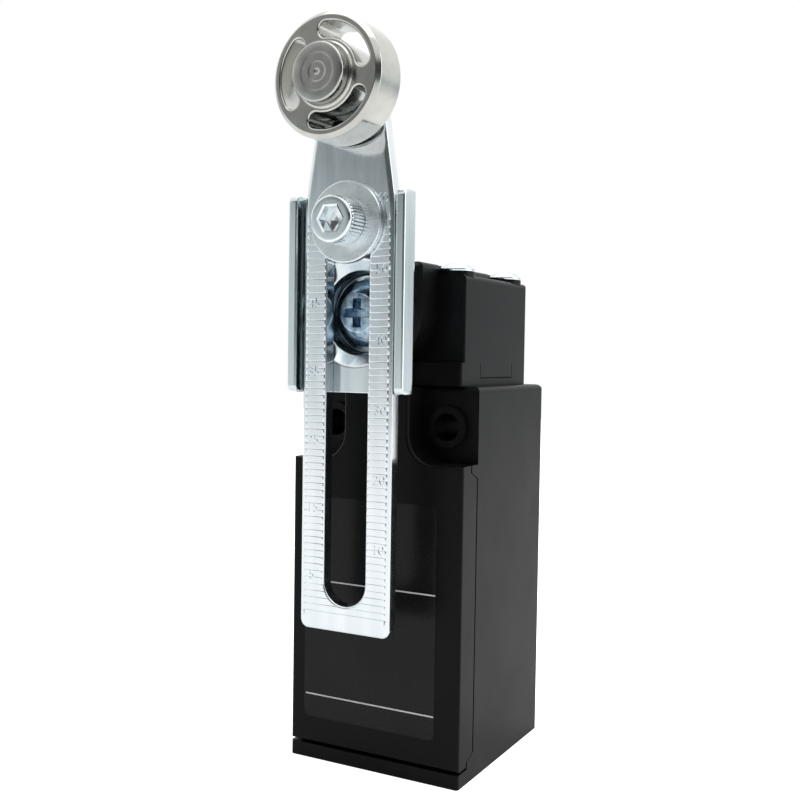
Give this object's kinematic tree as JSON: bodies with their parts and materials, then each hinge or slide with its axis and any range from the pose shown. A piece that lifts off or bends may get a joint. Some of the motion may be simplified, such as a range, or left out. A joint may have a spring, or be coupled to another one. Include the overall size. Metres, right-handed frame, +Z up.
{
  "type": "limit switch",
  "caption": "Plastic-bodied limit switch with a rotary head, a steel roller and a slotted lever arm of adjustable length.",
  "frame": {"origin": "on the flat mounting face at the back, midway between the two mounting holes", "axes": "+Y points out of the mounting face into the wall or machine, -Y is the front with the lever and roller, +Z is up along the housing, +X is to the right seen from the front"},
  "size_m": [0.03, 0.0493, 0.1126],
  "materials": {
    "body_plastic": "satin moulded black thermoplastic",
    "seal_rubber": "matte black rubber",
    "screw_zinc": "bright zinc-plated steel",
    "dark_zinc": "blue zinc-plated steel",
    "bush_brass": "turned brass",
    "guide_plastic": "natural acetal",
    "shaft_steel": "ground steel",
    "spring_steel": "spring steel wire",
    "block_plastic": "light moulded thermoset",
    "contact_brass": "brass with silver contacts",
    "bracket_zinc": "bright zinc-plated sheet",
    "arm_zinc": "satin zinc-plated sheet with an engraved scale",
    "roller_nickel": "polished nickel-plated steel",
    "rivet_steel": "brushed steel"
  },
  "bodies": {
    "body": {"housing": "body_plastic", "front_cover": "body_plastic", "cover_gasket": "seal_rubber", "head_housing": "body_plastic", "head_gasket": "seal_rubber", "head_screws": "screw_zinc", "shaft_bush": "bush_brass", "shaft_seal": "seal_rubber", "plunger_guide": "guide_plastic", "plunger_spring": "spring_steel", "contact_block": "block_plastic", "fixed_contacts": "contact_brass", "terminal_clamps": "screw_zinc", "terminal_screws": "screw_zinc"},
    "lever": {"lever_shaft": "shaft_steel", "shaft_circlip": "shaft_steel", "cam": "shaft_steel", "lever_bracket": "bracket_zinc", "shaft_screw": "dark_zinc", "clamp_washer": "screw_zinc", "clamp_screw": "screw_zinc", "clamp_nut": "screw_zinc"},
    "arm": {"lever_arm": "arm_zinc", "roller_rivet": "rivet_steel", "roller_spacer": "arm_zinc"},
    "roller": {"roller": "roller_nickel"},
    "plunger": {"plunger": "guide_plastic"},
    "slider": {"contact_slider": "block_plastic", "moving_contacts": "contact_brass", "contact_springs": "spring_steel"}
  },
  "joints": [
    {"name": "lever_swing", "type": "hinge", "parent": "body", "child": "lever", "pos_m": [0, -0.03, 0.0171], "axis": [0, 1, 0], "range_deg": [-75, 75], "stiffness_Nm_per_rad": 0.1},
    {"name": "arm_extend", "type": "slide", "parent": "lever", "child": "arm", "axis": [0, 0, 1], "range_m": [0, 0.0525]},
    {"name": "roller_spin", "type": "hinge", "parent": "arm", "child": "roller", "pos_m": [0, -0.044, 0.04975], "axis": [0, 1, 0], "continuous": true},
    {"name": "plunger_travel", "type": "slide", "parent": "body", "child": "plunger", "axis": [0, 0, -1], "range_m": [0, 0.0025], "stiffness_N_per_m": 800, "springref_m": -0.001, "deforming": ["plunger_spring"]},
    {"name": "contact_travel", "type": "slide", "parent": "body", "child": "slider", "axis": [0, 0, -1], "range_m": [0, 0.0025]}
  ],
  "couplings": [
    {"joint": "contact_travel", "follows": "plunger_travel", "ratio": 1}
  ]
}
